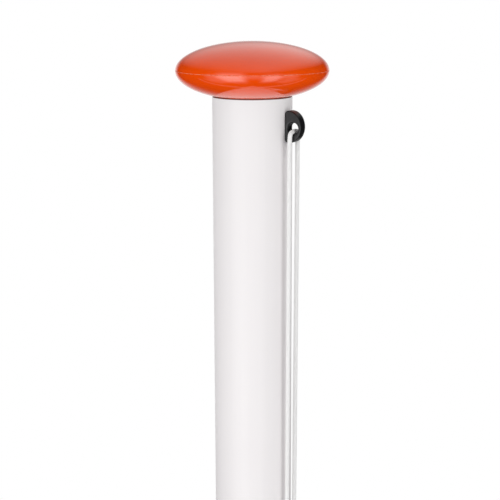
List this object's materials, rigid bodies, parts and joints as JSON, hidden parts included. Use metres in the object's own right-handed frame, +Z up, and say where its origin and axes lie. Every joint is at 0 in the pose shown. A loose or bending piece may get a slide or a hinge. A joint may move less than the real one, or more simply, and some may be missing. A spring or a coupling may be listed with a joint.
{
  "type": "flagpole",
  "caption": "Cylindrical white glass-fibre flagpole with a flat lens-shaped orange knob, a black line eye and an endless white halyard belayed on a black horn cleat.",
  "frame": {"origin": "centre of the pole's foot, at ground level", "axes": "+Z up along the pole's axis; +X towards the side that carries the line eye, the halyard and the cleat"},
  "size_m": [0.1729, 0.172, 5.0611],
  "materials": {
    "pole_gelcoat": "white glass-fibre gelcoat, half gloss",
    "knob_orange": "orange-red plastic, high gloss",
    "black_nylon": "black moulded nylon, satin",
    "halyard_white": "white braided polyester cord"
  },
  "bodies": {
    "root": {"pole_tube": "pole_gelcoat", "knob_upper_shell": "knob_orange", "knob_lower_shell": "knob_orange", "knob_spigot": "knob_orange", "line_eye": "black_nylon", "cleat": "black_nylon", "halyard": "halyard_white", "halyard_knot": "halyard_white"}
  },
  "joints": []
}
